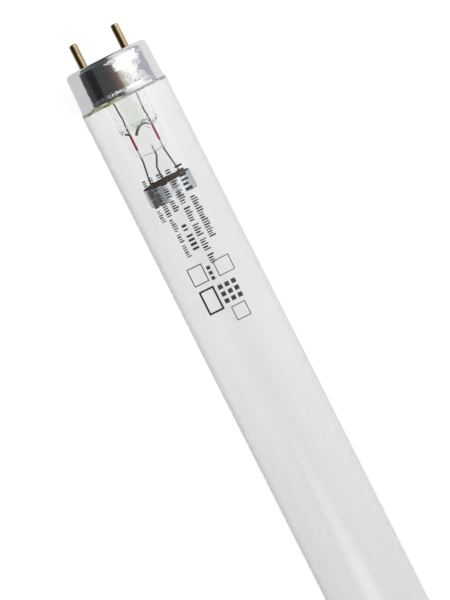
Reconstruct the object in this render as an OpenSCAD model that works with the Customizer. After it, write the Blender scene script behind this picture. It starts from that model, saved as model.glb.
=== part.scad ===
// Germicidal discharge lamp tube with a two-pin cap at each end.
//
// The lamp lies along X, with its middle at the origin and all four contact pins in the XY plane.
// Each end is modelled in its own frame: the cap's end face is at z = 0, z is the depth into the
// lamp along its axis, x runs across from pin to pin, and +y is the front of the glass press.
// Both ends are the same assembly, the second one turned half a turn about Z.

/* [Lamp] */
// Length of the lamp between its two cap faces, without the pins
lamp_len = 1199.4; // [300:0.1:1500]
// Outer diameter of the glass tube
tube_d = 25.6; // [24.5:0.1:28]
// Wall thickness of the glass tube
tube_wall = 0.75; // [0.6:0.05:1]

/* [Cap shell] */
// Height of the drawn aluminium cap along the lamp
cap_len = 11.8; // [10.5:0.1:14]
// Thickness of the aluminium
shell_wall = 0.35; // [0.25:0.05:0.5]
// Radius of the cap's rounded shoulder
shoulder_r = 1.4; // [1:0.1:1.8]
// How far the cap's top lies inside the glass tube's surface
top_inset = 0.7; // [0.5:0.05:0.9]
// How far the foot of the tapered skirt lies inside the glass tube's surface
skirt_inset = 0.45; // [0.35:0.05:0.5]
// How far the rim of the cap lies inside the glass tube's surface
rim_inset = 0.1; // [0.05:0.01:0.15]
// Height of the straight band at the rim
rim_len = 0.9; // [0.6:0.1:1.4]
// Height of the flare between the skirt and the rim band
flare_len = 1.3; // [0.8:0.1:1.8]
// Length of the window in the cap's face, along the row of pins
window_len = 19.2; // [17.5:0.1:20]
// Width of the window in the cap's face
window_w = 6.6; // [5.5:0.1:8]

/* [Insulator plate] */
// Thickness of the plate behind the cap's face
plate_t = 1.3; // [1:0.1:1.8]
// How far the raised boss stays below the cap's face
boss_sink = 0.1; // [0.05:0.05:0.2]

/* [Contact pins] */
// Distance between the two pins' axes
pin_pitch = 12.7; // [12:0.1:13.5]
// Diameter of a pin
pin_d = 2.35; // [2.2:0.05:2.7]
// Length of a pin beyond the cap's face
pin_len = 7.1; // [6.6:0.1:7.6]
// Radius of a pin's rounded tip
pin_tip_r = 0.6; // [0.4:0.05:0.75]
// Bore of a pin
pin_bore = 1.3; // [1:0.05:1.5]
// Depth of the closed nose where the lead is gripped
pin_nose = 1.5; // [1:0.1:2]
// Diameter of the pin's shank, where it sits in the plate
shank_d = 2.7; // [2.5:0.05:3]
// Diameter of the staked collar under the plate
collar_d = 4; // [3.4:0.1:4.6]
// Thickness of the staked collar
collar_t = 0.4; // [0.3:0.05:0.6]

/* [Cement and neck] */
// Thinnest layer of cement between the cap and the glass neck
cement_t = 0.15; // [0.1:0.05:0.3]
// Length of the shoulder over which the glass narrows, half of it under the rim
neck_len = 1.6; // [1.2:0.1:2]
// Depth of the fused joint between tube and stem below the cap's face
seal_depth = 5; // [4.6:0.1:5.5]

/* [Glass stem] */
// Diameter of the stem's tube
stem_d = 11.2; // [10.2:0.1:12]
// Wall thickness of the stem
stem_wall = 0.8; // [0.6:0.05:1]
// Radius of the rolled edge where the stem turns in from the tube
roll_r = 1; // [0.8:0.05:1.2]
// Length of the funnel from the rolled edge to the stem's tube
funnel_len = 6; // [5:0.1:7]
// How far the end of the press stands beyond the cap's rim
press_reach = 17.5; // [16:0.1:20]
// Length of the flat press
press_len = 7.8; // [7.4:0.1:9]
// Thickness of the flat press
press_t = 3.6; // [3.4:0.1:4.4]
// Length over which the round stem is flattened into the press
blend_len = 2.6; // [2:0.1:3.2]
// Length of the rounded end of the press
nose_len = 2.4; // [1.8:0.1:2.6]
// Diameter of the opening blown through the front of the press
vent_d = 4.2; // [3.6:0.1:4.6]
// Distance from the end of the press to the middle of that opening
vent_rise = 5.9; // [5.6:0.1:6.2]
// Diameter of the melted lip round that opening
lip_d = 0.8; // [0.6:0.05:1]
// Outer diameter of the exhaust tube
exhaust_d = 4.4; // [4:0.1:4.6]
// Wall thickness of the exhaust tube
exhaust_wall = 0.8; // [0.6:0.05:1]
// Depth of the exhaust tube's melted tip below the cap's face
exhaust_tip = 3; // [2.8:0.1:3.4]

/* [Lead wires] */
// Diameter of the outer lead, from the pin to the press
outer_d = 0.45; // [0.35:0.05:0.55]
// Diameter of the red seal wire inside the press
seal_d = 0.6; // [0.5:0.05:0.7]
// Length of the red seal wire
seal_len = 4.4; // [3.8:0.1:4.8]
// Depth of its lower end behind the end of the press
seal_rise = 2.5; // [2.2:0.1:2.8]
// Diameter of the inner lead, from the press to the cathode
inner_d = 0.5; // [0.4:0.05:0.6]
// Distance between the two leads in the press
lead_gap = 6.8; // [6.6:0.1:7.2]
// Distance between the two leads at the cathode
hook_gap = 8.6; // [8:0.1:9]
// Bend radius of the wires, to the middle of the wire
wire_bend = 0.9; // [0.7:0.05:1]

/* [Cathode] */
// Distance from the end of the press to the cathode
cathode_reach = 10.7; // [10:0.1:12]
// Diameter of the cathode's wire
coil_wire = 0.2; // [0.16:0.01:0.24]
// Outer diameter of the coil
coil_d = 1.3; // [1:0.05:1.5]
// Turns of the coil
coil_turns = 13; // [9:1:15]
// Length of the close-wound part of the coil
coil_len = 7; // [6:0.1:7.2]

/* [Cathode shield] */
// Length of the oval shield, across the lamp
shield_len = 14; // [12.5:0.1:15]
// Depth of the oval shield, front to back
shield_w = 8.5; // [7.5:0.1:9.5]
// Height of the shield's strip
shield_h = 5.3; // [4.5:0.1:6.2]
// Thickness of the strip
shield_t = 0.2; // [0.15:0.01:0.25]
// Radius of the oval's ends
shield_end_r = 2.2; // [1.8:0.1:2.6]
// Width of the lap where the strip's ends are welded together
lap_w = 3.2; // [2.6:0.1:4]
// Lean of the shield towards the front, in degrees
shield_lean = 12; // [0:1:14]
// Diameter of the wire that carries the shield
support_d = 0.5; // [0.4:0.05:0.6]
// How far that wire is set to one side of the lamp's axis, where it is welded on
support_set = 0.7; // [0.4:0.1:1]
// How far it is set to the other side where it leaves the press
support_root_set = 0.7; // [0:0.1:0.9]
// Distance from the end of the press to the wire's middle bend
support_knee = 3.9; // [3.2:0.1:4.5]
// How far the middle bend lies behind the lamp's axis
support_knee_back = 1.6; // [1:0.1:2]

/* [Mercury] */
// Diameter of the mercury bead lying in the tube
bead_d = 1.1; // [0.6:0.1:1.6]
// Distance of the bead from the middle of the lamp
bead_at = 150; // [50:1:150]

/* [Hidden] */

$fn = 64;
ARC_STEPS = 8;      // straight pieces in each quarter of a turned profile's curves
NECK_STEPS = 8;     // stations along the shoulder of the glass neck, the middle one at the rim
FLARE_STEPS = 6;    // stations along the flare of the cap
THROUGH = 1;        // overshoot of a cutting shape, so that it leaves no skin
BEND_STEP = 0.002;  // how much a wire's bend lies inside its straight parts
BEND_LAP = 0.03;    // how far a bend reaches into the straight parts beside it

tube_r = tube_d / 2;

// The cap shell's outer radii, all set back from the glass tube's surface
top_r = tube_r - top_inset;
skirt_r = tube_r - skirt_inset;
rim_r = tube_r - rim_inset;
face_r = top_r - shoulder_r;
flare_end = cap_len - rim_len;
flare_start = flare_end - flare_len;

// The plate and the pins that it carries
plate_top = shell_wall;
plate_end = plate_top + plate_t;
pin_x = pin_pitch / 2;
collar_end = plate_end + collar_t;

// The glass neck inside the cap, and the joint where tube and stem are fused
neck_step = neck_len / NECK_STEPS;
neck_start = cap_len - neck_len / 2;
neck_r = top_r - shell_wall - cement_t;
seal_r = neck_r - tube_wall / 2;
cement_top = seal_depth + 0.2;
seal_stub = 0.3;    // straight edge of the stem that is fused to the tube

// The stem, down to the end of its press
stem_r = stem_d / 2;
stem_mid_r = stem_r - stem_wall / 2;
roll_z = seal_depth - seal_stub;
roll_top = roll_z - roll_r;
funnel_end = roll_top + funnel_len;
press_end = cap_len + press_reach;
press_start = press_end - press_len;
blend_start = press_start - blend_len;
press_side_r = stem_r - 0.6;        // half the press's width where its rounded end begins
press_end_r = lead_gap / 2 - 0.6;   // half the width of the flat at the very end of the press
vent_z = press_end - vent_rise;

// The exhaust tube ends on a socket in the stem
exhaust_r = exhaust_d / 2;
exhaust_bore = exhaust_r - exhaust_wall;
exhaust_end = blend_start + 1;

// Depths of the wires' joints
seal_end = press_end - seal_rise;
seal_start = seal_end - seal_len;
lead_x = lead_gap / 2;
hook_x = hook_gap / 2;
cathode_z = press_end + cathode_reach;
hook_r = (inner_d + coil_wire) / 2; // radius of the hook round the coil's tail
hook_back = 0.8;                    // length of the hook's returning leg

// The oval shield, made of two long arcs and two end arcs that are tangent to them
shield_a = shield_len / 2;
shield_b = shield_w / 2;
shield_side_r = (pow(shield_a - shield_end_r, 2) + pow(shield_b, 2) - pow(shield_end_r, 2))
    / (2 * (shield_b - shield_end_r));
shield_side_y = shield_side_r - shield_b;
support_y = sqrt(pow(shield_side_r + shield_t + support_d / 2, 2) - pow(support_set, 2))
    - shield_side_y;
support_root = press_end - 2.1;     // depth where the support wire starts inside the press

// A smooth step from 0 to 1
function ease(s) = s * s * (3 - 2 * s);

// A value that goes smoothly from a to b as z goes from z0 to z1
function blend(a, b, z0, z1, z) = a + (b - a) * ease(min(1, max(0, (z - z0) / (z1 - z0))));

function unit(v) = v / norm(v);

// Points of an arc in a profile, from angle a0 to angle a1
function arc(centre, r, a0, a1, steps = ARC_STEPS) =
    [for (i = [0:steps]) let (a = a0 + (a1 - a0) * i / steps) centre + r * [cos(a), sin(a)]];

function backwards(list) = [for (i = [len(list) - 1:-1:0]) list[i]];

// The direction of a path at its point i, and the path moved sideways by d
function heading(path, i) =
    unit(path[min(i + 1, len(path) - 1)] - path[max(i - 1, 0)]);
function beside(path, d) =
    [for (i = [0:len(path) - 1]) let (h = heading(path, i)) path[i] + d * [-h[1], h[0]]];

// A turned wall of even thickness along a path
module turned_wall(path, wall)
    rotate_extrude() polygon(concat(beside(path, wall / 2), backwards(beside(path, -wall / 2))));

// Outer surface of the cap's flare, and of the glass neck, as [radius, depth] points
flare = [for (i = [0:FLARE_STEPS]) let (z = flare_start + flare_len * i / FLARE_STEPS)
    [blend(skirt_r, rim_r, flare_start, flare_end, z), z]];
neck = [for (i = [0:NECK_STEPS]) let (z = neck_start + neck_step * i)
    [blend(neck_r, tube_r, neck_start, neck_start + neck_len, z), z]];

function inward(list, d) = [for (p = list) p - [d, 0]];

// The point of the cap's tapered skirt where the cement begins
skirt_joint = [top_r + (skirt_r - top_r) * (cement_top - shoulder_r) / (flare_start - shoulder_r),
    cement_top];

module end_a() translate([-lamp_len / 2, 0, 0]) rotate([90, 0, 90]) children();
module end_b() rotate([0, 0, 180]) end_a() children();

// Part of a ring of wire, drawn in the xy plane from the x axis, with its laps at both ends
module wire_arc(d, bend_r, angle) {
    lap = BEND_LAP / bend_r * 180 / PI;
    rotate([0, 0, -lap]) rotate_extrude(angle = angle + 2 * lap)
        translate([bend_r, 0]) circle(d = d - 2 * BEND_STEP);
}

// A wire through a list of points, straight between them and bent to one radius at each corner
module bent_wire(points, d, bend_r) {
    last = len(points) - 1;
    turn = [for (i = [0:last]) (i == 0 || i == last) ? 0 :
        acos(unit(points[i] - points[i - 1]) * unit(points[i + 1] - points[i]))];
    tangent = [for (t = turn) bend_r * tan(t / 2)];
    for (i = [0:last - 1]) {
        way = unit(points[i + 1] - points[i]);
        run = norm(points[i + 1] - points[i]) - tangent[i] - tangent[i + 1];
        if (run > 0.001)
            translate(points[i] + way * tangent[i])
                rotate([0, acos(way[2]), atan2(way[1], way[0])])
                    cylinder(h = run, d = d);
    }
    for (i = [1:1:last - 1]) if (turn[i] > 0.01) {
        way = unit(points[i] - points[i - 1]);
        axis = unit(cross(way, unit(points[i + 1] - points[i])));
        out = cross(way, axis);
        centre = points[i] - way * tangent[i] - out * bend_r;
        multmatrix([
            [out[0], way[0], axis[0], centre[0]],
            [out[1], way[1], axis[1], centre[1]],
            [out[2], way[2], axis[2], centre[2]],
            [0, 0, 0, 1]
        ]) wire_arc(d, bend_r, turn[i]);
    }
}

// The drawn glass tube, narrowed at both ends to sit inside the caps
module glass_tube() {
    one_end = concat([[neck_r, seal_depth]], neck);
    outer = concat(
        [for (p = one_end) [p[0], p[1] - lamp_len / 2]],
        [for (p = backwards(one_end)) [p[0], lamp_len / 2 - p[1]]]
    );
    color("lightcyan", 0.4) rotate([0, 90, 0])
        rotate_extrude() polygon(concat(outer, backwards(inward(outer, tube_wall))));
}

// The drop of mercury, lying on the lowest line of the tube's wall
module mercury_bead()
    color("lightgray") translate([bead_at, 0, -tube_r + tube_wall + bead_d / 2]) sphere(d = bead_d);

// A slot with round ends, centred, its length along x
module slot(length, width) {
    square([length - width, width], center = true);
    for (side = [-1, 1]) translate([side * (length - width) / 2, 0]) circle(d = width);
}

// The aluminium cap: a drawn cup with a rounded shoulder, a tapered skirt and a flared rim
module cap_shell() {
    shoulder_centre = [face_r, shoulder_r];
    skirt = concat([skirt_joint], flare, [[rim_r, cap_len]]);
    outer = concat([[0, 0]], arc(shoulder_centre, shoulder_r, -90, 0), skirt);
    inner = concat(
        [[0, shell_wall]], arc(shoulder_centre, shoulder_r - shell_wall, -90, 0),
        inward(skirt, shell_wall)
    );
    color("silver") difference() {
        rotate_extrude() polygon(concat(outer, backwards(inner)));
        translate([0, 0, -THROUGH]) linear_extrude(shell_wall + 2 * THROUGH)
            slot(window_len, window_w);
    }
}

// The moulded plate behind the cap's face, with a boss that fills the window round the pins
module insulator_plate()
    color("saddlebrown") difference() {
        union() {
            translate([0, 0, plate_top]) cylinder(h = plate_t, r = face_r);
            translate([0, 0, boss_sink]) linear_extrude(plate_end - boss_sink)
                slot(window_len, window_w);
        }
        for (side = [-1, 1]) translate([side * pin_x, 0, -THROUGH])
            cylinder(h = plate_end + 2 * THROUGH, d = shank_d);
    }

// A hollow brass pin, round at its tip, with a shank that the collar stakes to the plate
module contact_pin(side) {
    r = pin_d / 2;
    tip = arc([r - pin_tip_r, pin_tip_r - pin_len], pin_tip_r, -90, 0);
    outline = concat(
        [[outer_d / 2, -pin_len]], tip,
        [[r, 0], [shank_d / 2, 0], [shank_d / 2, plate_end]],
        [[collar_d / 2, plate_end], [collar_d / 2, collar_end]],
        [[pin_bore / 2, collar_end], [pin_bore / 2, pin_nose - pin_len],
         [outer_d / 2, pin_nose - pin_len - (pin_bore - outer_d) / 2]]
    );
    color("goldenrod") translate([side * pin_x, 0, 0]) rotate_extrude() polygon(outline);
}

// The baked cement between the cap and the glass neck, with the bead that shows at the rim
module capping_cement() {
    shell_side = inward(concat([skirt_joint], flare, [[rim_r, cap_len]]), shell_wall);
    color("khaki") rotate_extrude() polygon(concat(
        shell_side, [[rim_r, cap_len]], backwards(neck), [[neck_r, cement_top]]
    ));
}

// Half the stem's thickness in front of its axis at depth z, outside and in the hollow
function stem_half(z) = blend(stem_r, press_t / 2, blend_start, press_start, z);
function hollow_half(z) = blend(stem_r - stem_wall, 0, blend_start, press_start + 0.2, z);

// The stem's outline seen from the side, as thick as the press at its end
module side_outline() {
    half = concat(
        [[stem_r + THROUGH, 0], [stem_r + THROUGH, blend_start]],
        [for (i = [0:ARC_STEPS]) let (z = blend_start + blend_len * i / ARC_STEPS)
            [stem_half(z), z]],
        arc([press_t / 4, press_end - press_t / 4], press_t / 4, 0, 90)
    );
    polygon(concat([for (p = half) [-p[0], p[1]]], backwards(half)));
}

// The hollow of the stem seen from the side, closing to a wedge at the press
module side_hollow() {
    half = concat([[stem_r, 0], [stem_r, blend_start - 0.01]],
        [for (i = [0:ARC_STEPS]) let (z = blend_start + (blend_len + 0.2) * i / ARC_STEPS)
            [hollow_half(z), z]]);
    polygon(concat([for (p = half) [-p[0], p[1]]],
        [for (i = [len(half) - 2:-1:0]) half[i]]));
}

// The lowest part of the stem turned to its outline as seen from the front
module press_blank() {
    rotate_extrude() polygon(concat(
        [[0, funnel_end], [stem_r, funnel_end], [stem_r, press_start]],
        [for (a = [0:90 / ARC_STEPS:90])
            [press_end_r + (press_side_r - press_end_r) * cos(a),
             press_end - nose_len + nose_len * sin(a)]],
        [[0, press_end]]
    ));
}

// The funnel from the fused joint over the rolled edge and down to the stem's tube
funnel_path = concat(
    [[seal_r, seal_depth]],
    arc([seal_r - roll_r, roll_z], roll_r, 0, -110),
    [for (i = [3:2 * ARC_STEPS])
        let (s = i / (2 * ARC_STEPS), in_r = seal_r - 2 * roll_r)
        [stem_mid_r + (in_r - stem_mid_r) * pow(1 - s, 2.2), roll_top + funnel_len * s]]
);

// The glass stem: funnel, tube and flat press, with its vent and the bores round the wires
module stem() {
    color("powderblue", 0.5) difference() {
        union() {
            turned_wall(funnel_path, stem_wall);
            difference() {
                intersection() {
                    press_blank();
                    rotate([90, 0, 90]) translate([0, 0, -stem_r - THROUGH])
                        linear_extrude(2 * (stem_r + THROUGH)) side_outline();
                }
                intersection() {
                    translate([0, 0, funnel_end - THROUGH])
                        cylinder(h = press_end, r = stem_r - stem_wall);
                    rotate([90, 0, 90]) translate([0, 0, -stem_r])
                        linear_extrude(2 * stem_r) side_hollow();
                }
            }
            translate([0, 0, exhaust_end]) cylinder(h = vent_z - exhaust_end, r = exhaust_r);
            translate([0, press_t / 2 - lip_d / 4, vent_z]) rotate([90, 0, 0])
                rotate_extrude() translate([vent_d / 2 + lip_d / 4, 0]) circle(d = lip_d);
        }
        translate([0, 0, exhaust_end - THROUGH])
            cylinder(h = vent_z - exhaust_end + THROUGH, r = exhaust_bore);
        translate([0, 0, vent_z]) rotate([-90, 0, 0]) cylinder(h = press_t, d = vent_d);
        for (side = [-1, 1]) translate([side * lead_x, 0, 0]) {
            translate([0, 0, exhaust_end]) cylinder(h = seal_start - exhaust_end, d = outer_d);
            translate([0, 0, seal_start]) cylinder(h = seal_len, d = seal_d);
            translate([0, 0, seal_end]) cylinder(h = press_reach, d = inner_d);
        }
        translate([support_root_set, 0, support_root]) cylinder(h = press_reach, d = support_d);
    }
}

// The exhaust tube, melted shut at its tip inside the cap
module exhaust_tube() {
    wall_mid = exhaust_r - exhaust_wall / 2;
    tip_z = exhaust_tip + exhaust_r;
    color("powderblue", 0.5) rotate_extrude() polygon(concat(
        [for (a = [0:90 / ARC_STEPS:90]) [exhaust_r * sin(a), tip_z - exhaust_r * cos(a)]],
        [[exhaust_r, exhaust_end], [exhaust_bore, exhaust_end]],
        [for (a = [90:-90 / ARC_STEPS:0])
            [exhaust_bore * sin(a), tip_z + wall_mid * 0.3 - exhaust_bore * cos(a)]]
    ));
}

// The outer lead: down through the pin, inwards to the stem's throat and into the press
module outer_lead(side) {
    points = [
        [pin_x, 0, -pin_len],
        [pin_x, 0, collar_end + 0.9],
        [lead_x + 0.3, 0, funnel_end - 0.5],
        [lead_x - 0.2, 0, exhaust_end - 2.2],
        [lead_x, 0, exhaust_end - 0.8],
        [lead_x, 0, seal_start]
    ];
    color("dimgray") bent_wire([for (p = points) [side * p[0], p[1], p[2]]], outer_d, wire_bend);
}

// The red copper-clad wire that seals to the glass of the press
module seal_wire(side)
    color("firebrick") translate([side * lead_x, 0, seal_start]) cylinder(h = seal_len, d = seal_d);

// The inner lead, from the press to the hook that grips the coil's tail
module inner_lead(side) {
    points = [
        [lead_x, 0, seal_end],
        [lead_x, 0, press_end + 0.8],
        [hook_x, -hook_r, cathode_z - shield_h / 2 - 1.2],
        [hook_x, -hook_r, cathode_z]
    ];
    color("gray") {
        bent_wire([for (p = points) [side * p[0], p[1], p[2]]], inner_d, wire_bend);
        translate([side * hook_x, 0, cathode_z]) {
            rotate([90, 0, 90]) wire_arc(inner_d, hook_r, 180);
            translate([0, hook_r, -hook_back]) cylinder(h = hook_back, d = inner_d);
        }
    }
}

// A point given in the leaning shield's own frame, which has its origin at the cathode
function in_shield(p) = [
    p[0],
    p[1] * cos(shield_lean) - p[2] * sin(shield_lean),
    p[1] * sin(shield_lean) + p[2] * cos(shield_lean) + cathode_z
];

// The wire from the press to the back of the shield: across to its seat's side, then back
module shield_support()
    color("gray") bent_wire([
        [support_root_set, 0, support_root],
        [support_root_set, 0, press_end + 1],
        [-support_set, -support_knee_back, press_end + support_knee],
        in_shield([-support_set, -support_y, -shield_h / 2 - 1.4]),
        in_shield([-support_set, -support_y, shield_h / 2 - 1.2])
    ], support_d, wire_bend);

// The oval of the shield, grown outwards by d
module shield_oval(d) {
    side_r = shield_side_r + d;
    end_r = shield_end_r + d;
    end_x = shield_a - shield_end_r;
    meet_x = end_x * side_r / (shield_side_r - shield_end_r);
    intersection() {
        for (y = [-shield_side_y]) translate([0, y]) circle(r = side_r);
        translate([0, shield_side_y]) circle(r = side_r);
        square([2 * meet_x, 2 * side_r], center = true);
    }
    for (side = [-1, 1]) translate([side * end_x, 0]) circle(r = end_r);
}

// The shield: a strip bent to an oval round the cathode, lapped and welded at the back
module cathode_shield()
    color("slategray") translate([0, 0, cathode_z]) rotate([shield_lean, 0, 0])
        translate([0, 0, -shield_h / 2]) linear_extrude(shield_h) {
            difference() {
                shield_oval(0);
                shield_oval(-shield_t);
            }
            intersection() {
                difference() {
                    shield_oval(shield_t);
                    shield_oval(-shield_t / 2);
                }
                translate([-lap_w / 2, -shield_w]) square([lap_w, shield_w]);
            }
        }

// The route of the coil: a tail through each hook, and the turns between them
coil_r = (coil_d - coil_wire) / 2;
coil_tail = hook_gap + inner_d + 0.8;
COIL_SEGMENTS = 12;   // rings in each turn of the coil
COIL_SIDES = 6;
function coil_point(t) =
    let (ramp = min(1, min(t, 1 - t) * coil_turns / 0.75))
    [(t - 0.5) * coil_len, coil_r * ease(ramp) * cos(360 * coil_turns * t),
     coil_r * ease(ramp) * sin(360 * coil_turns * t)];
coil_path = concat(
    [[-coil_tail / 2, 0, 0]],
    [for (i = [0:coil_turns * COIL_SEGMENTS]) coil_point(i / (coil_turns * COIL_SEGMENTS))],
    [[coil_tail / 2, 0, 0]]
);

// The tungsten coil between the hooks, as a tube swept along its route
module cathode_coil() {
    rings = len(coil_path);
    points = [for (i = [0:rings - 1])
        let (way = unit(coil_path[min(i + 1, rings - 1)] - coil_path[max(i - 1, 0)]),
             twist = 360 / COIL_SEGMENTS * min(max(i - 1, 0), rings - 3),
             right = unit(cross(way, [0, -sin(twist), cos(twist)])),
             up = cross(right, way))
        for (k = [0:COIL_SIDES - 1]) let (a = 360 * k / COIL_SIDES)
            coil_path[i] + coil_wire / 2 * (right * cos(a) + up * sin(a))];
    sides = [for (i = [0:rings - 2]) for (k = [0:COIL_SIDES - 1])
        let (n = (k + 1) % COIL_SIDES, a = i * COIL_SIDES, b = a + COIL_SIDES)
        each [[a + k, b + k, b + n], [a + k, b + n, a + n]]];
    color("darkgray") translate([0, 0, cathode_z]) polyhedron(points, concat(
        sides,
        [[for (k = [0:COIL_SIDES - 1]) k]],
        [[for (k = [COIL_SIDES - 1:-1:0]) (rings - 1) * COIL_SIDES + k]]
    ));
}

glass_tube();
mercury_bead();
end_a() cap_shell();  // cap_shell_a
end_a() insulator_plate();  // insulator_plate_a
end_a() contact_pin(-1);  // contact_pin_a1
end_a() contact_pin(1);  // contact_pin_a2
end_a() capping_cement();  // capping_cement_a
end_a() stem();  // stem_a
end_a() exhaust_tube();  // exhaust_tube_a
end_a() outer_lead(-1);  // outer_lead_a1
end_a() outer_lead(1);  // outer_lead_a2
end_a() seal_wire(-1);  // seal_wire_a1
end_a() seal_wire(1);  // seal_wire_a2
end_a() inner_lead(-1);  // inner_lead_a1
end_a() inner_lead(1);  // inner_lead_a2
end_a() shield_support();  // shield_support_a
end_a() cathode_shield();  // cathode_shield_a
end_a() cathode_coil();  // cathode_coil_a
end_b() cap_shell();  // cap_shell_b
end_b() insulator_plate();  // insulator_plate_b
end_b() contact_pin(-1);  // contact_pin_b1
end_b() contact_pin(1);  // contact_pin_b2
end_b() capping_cement();  // capping_cement_b
end_b() stem();  // stem_b
end_b() exhaust_tube();  // exhaust_tube_b
end_b() outer_lead(-1);  // outer_lead_b1
end_b() outer_lead(1);  // outer_lead_b2
end_b() seal_wire(-1);  // seal_wire_b1
end_b() seal_wire(1);  // seal_wire_b2
end_b() inner_lead(-1);  // inner_lead_b1
end_b() inner_lead(1);  // inner_lead_b2
end_b() shield_support();  // shield_support_b
end_b() cathode_shield();  // cathode_shield_b
end_b() cathode_coil();  // cathode_coil_b
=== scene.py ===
"""Looks of the germicidal lamp tube: clear drawn glass, two-pin aluminium caps, glass stems
with their red seal wires, and shielded coil cathodes, lying on a plain white studio floor.

Every new piece is a surface worked out with numpy as a whole grid of points. Lengths inside the
functions are in millimetres and in an end's own frame: x across from pin to pin, y towards the
front of the press, z the depth from the cap's face. place() carries them into the part's frame.
"""
import math

import bpy
import numpy as np
from mathutils import Matrix, Vector

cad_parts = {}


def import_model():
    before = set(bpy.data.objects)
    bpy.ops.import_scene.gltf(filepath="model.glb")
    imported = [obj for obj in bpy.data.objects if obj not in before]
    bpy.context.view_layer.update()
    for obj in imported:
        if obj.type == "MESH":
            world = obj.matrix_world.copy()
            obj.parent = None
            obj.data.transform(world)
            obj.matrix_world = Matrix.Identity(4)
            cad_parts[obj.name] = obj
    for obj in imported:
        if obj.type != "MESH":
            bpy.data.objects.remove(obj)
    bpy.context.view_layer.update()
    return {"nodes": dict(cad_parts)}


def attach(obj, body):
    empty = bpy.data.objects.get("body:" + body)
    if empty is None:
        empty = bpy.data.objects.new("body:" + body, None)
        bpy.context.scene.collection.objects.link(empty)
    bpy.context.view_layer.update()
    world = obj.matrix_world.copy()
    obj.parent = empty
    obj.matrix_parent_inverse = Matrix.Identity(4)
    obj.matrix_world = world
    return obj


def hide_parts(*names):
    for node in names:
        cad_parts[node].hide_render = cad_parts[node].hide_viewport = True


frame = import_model()
NODES = frame["nodes"]

MM = 0.001
TAU = 2 * math.pi
ENDS = ("a", "b")

# The lamp, in millimetres, as in the part's source
LAMP_LEN = 1199.4
TUBE_R = 12.8
TUBE_WALL = 0.75
NECK_R = 11.6
NECK_LEN = 1.6
SEAL_DEPTH = 5.0
CAP_LEN = 11.8
SHELL_WALL = 0.35
SHOULDER_R = 1.4
TOP_R = 12.1
SKIRT_R = 12.35
RIM_R = 12.7
RIM_LEN = 0.9
FLARE_LEN = 1.3
FLARE_START = CAP_LEN - RIM_LEN - FLARE_LEN
CAP_WINDOW = dict(length=19.2, width=6.6)
PIN_X = 6.35
CEMENT_START = 5.2
PRESS_END = 29.3
PRESS_FRONT = 1.8
VENT = dict(x=1.05, z=22.3, wide=1.85, high=1.5)
SEAL = dict(x=3.4, start=22.4, stop=26.8, radius=0.34)
CATHODE_Z = 40.0
SHIELD = dict(length=14.0, width=8.5, height=5.3, wall=0.2, end_r=2.2, lap=3.2, lean=12.0)
COIL = dict(turns=13, length=7.0, radius=0.55, wire=0.1, tail=9.9)

# Points round the tube and round a cap
TUBE_SIDES = 224
CAP_SIDES = 240

# The tube is drawn this much slimmer, so that the print on it stays in the CAD model's box
INK_LIFT = 0.01

# How much the rim's outer and inner corners are taken off
RIM_OUTER_CORNER = 0.06
RIM_INNER_CORNER = 0.04

# The waves in the cement's free edge: number round the lamp, height and start
CEMENT_WAVES = [(3, 0.2, 0.6), (7, 0.16, 2.1), (17, 0.1, 0.0), (41, 0.04, 1.0)]

# Creases in the press: from (across, depth) to (across, depth), radius, colour. The colours are
# painted shade and light on clear glass: mostly dark on the left, pale on the right and near white
# at the press's end
CREASES_PAINTED_SHADING = [(-4.5, 21.35, -3.1, 22.3, 0.32, (0.15, 0.15, 0.11)),
           (-4.9, 19.95, -4.6, 20.7, 0.14, (0.30, 0.32, 0.30)),
           (-1.85, 23.1, -0.9, 21.6, 0.46, (0.20, 0.20, 0.12)),
           (0.9, 20.2, 1.6, 19.85, 0.16, (0.42, 0.45, 0.42)),
           (1.7, 19.7, 2.2, 20.2, 0.15, (0.40, 0.43, 0.41)),
           (3.75, 22.2, 4.15, 21.1, 0.15, (0.30, 0.33, 0.32)),
           (4.4, 21.9, 5.1, 20.9, 0.15, (0.50, 0.53, 0.51)),
           (2.3, 21.2, 3.3, 22.3, 0.13, (0.72, 0.78, 0.76)),
           (1.8, 22.0, 2.6, 23.1, 0.13, (0.80, 0.85, 0.83)),
           (2.4, 19.9, 3.2, 20.9, 0.13, (0.62, 0.67, 0.65)),
           (-2.6, 28.85, 0.1, 29.15, 0.15, (0.97, 0.98, 0.97)),
           (1.0, 29.15, 3.2, 28.8, 0.15, (0.94, 0.96, 0.94))]

# The vent's melted lip, at shares of its length: the bead's radius, and its colour, a painted
# shade on the clear glass, dark grey-green on the left, going over into a painted light, pale on
# the right
LIP_RADIUS = [(0, 0.2), (0.05, 0.38), (0.3, 0.42), (0.7, 0.36), (1, 0.12)]
LIP_PAINTED_SHADING = [(0, (0.24, 0.25, 0.18)), (0.25, (0.32, 0.35, 0.31)),
            (0.6, (0.42, 0.47, 0.45)), (1, (0.70, 0.76, 0.74))]

# The shield's brightness at points across it, a painted shade that is darkest in a stretch on the
# left, and its colours
SHIELD_PAINTED_SHADE = [(-7, 0.9), (-6.3, 0.8), (-5.4, 0.42), (-4.4, 0.48), (-3.2, 0.95), (2, 0.95),
                (4, 0.8)]
SHIELD_OUTSIDE = (0.94, 0.97, 1.04)
SHIELD_INSIDE = (0.50, 0.39, 0.34)

# How much the cap's skirt is crowned, as its fall in mm at 1 mm from its middle, and its
# crinkled patches: middle (across, depth), half width, half height
CAP_CROWN = 0.0058
CRINKLES = [(3.5, 8.2, 1.1, 1.7), (7.0, 4.9, 1.4, 0.9), (9.0, 2.4, 1.2, 0.6), (7.1, 8.8, 1.3, 1.3),
            (8.2, 10.4, 1.8, 0.7), (-3.5, 10.3, 5.5, 0.8), (0.5, 1.9, 2.0, 0.7)]

# The cement's olive, along a noise, and the stretch across the cap where it shows
OLIVE = [(0.34, (0.16, 0.17, 0.06)), (0.5, (0.42, 0.46, 0.20)), (0.66, (0.74, 0.76, 0.64))]
OLIVE_ACROSS = (-11.2, -9.0, -2.0, 0.8)

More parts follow.
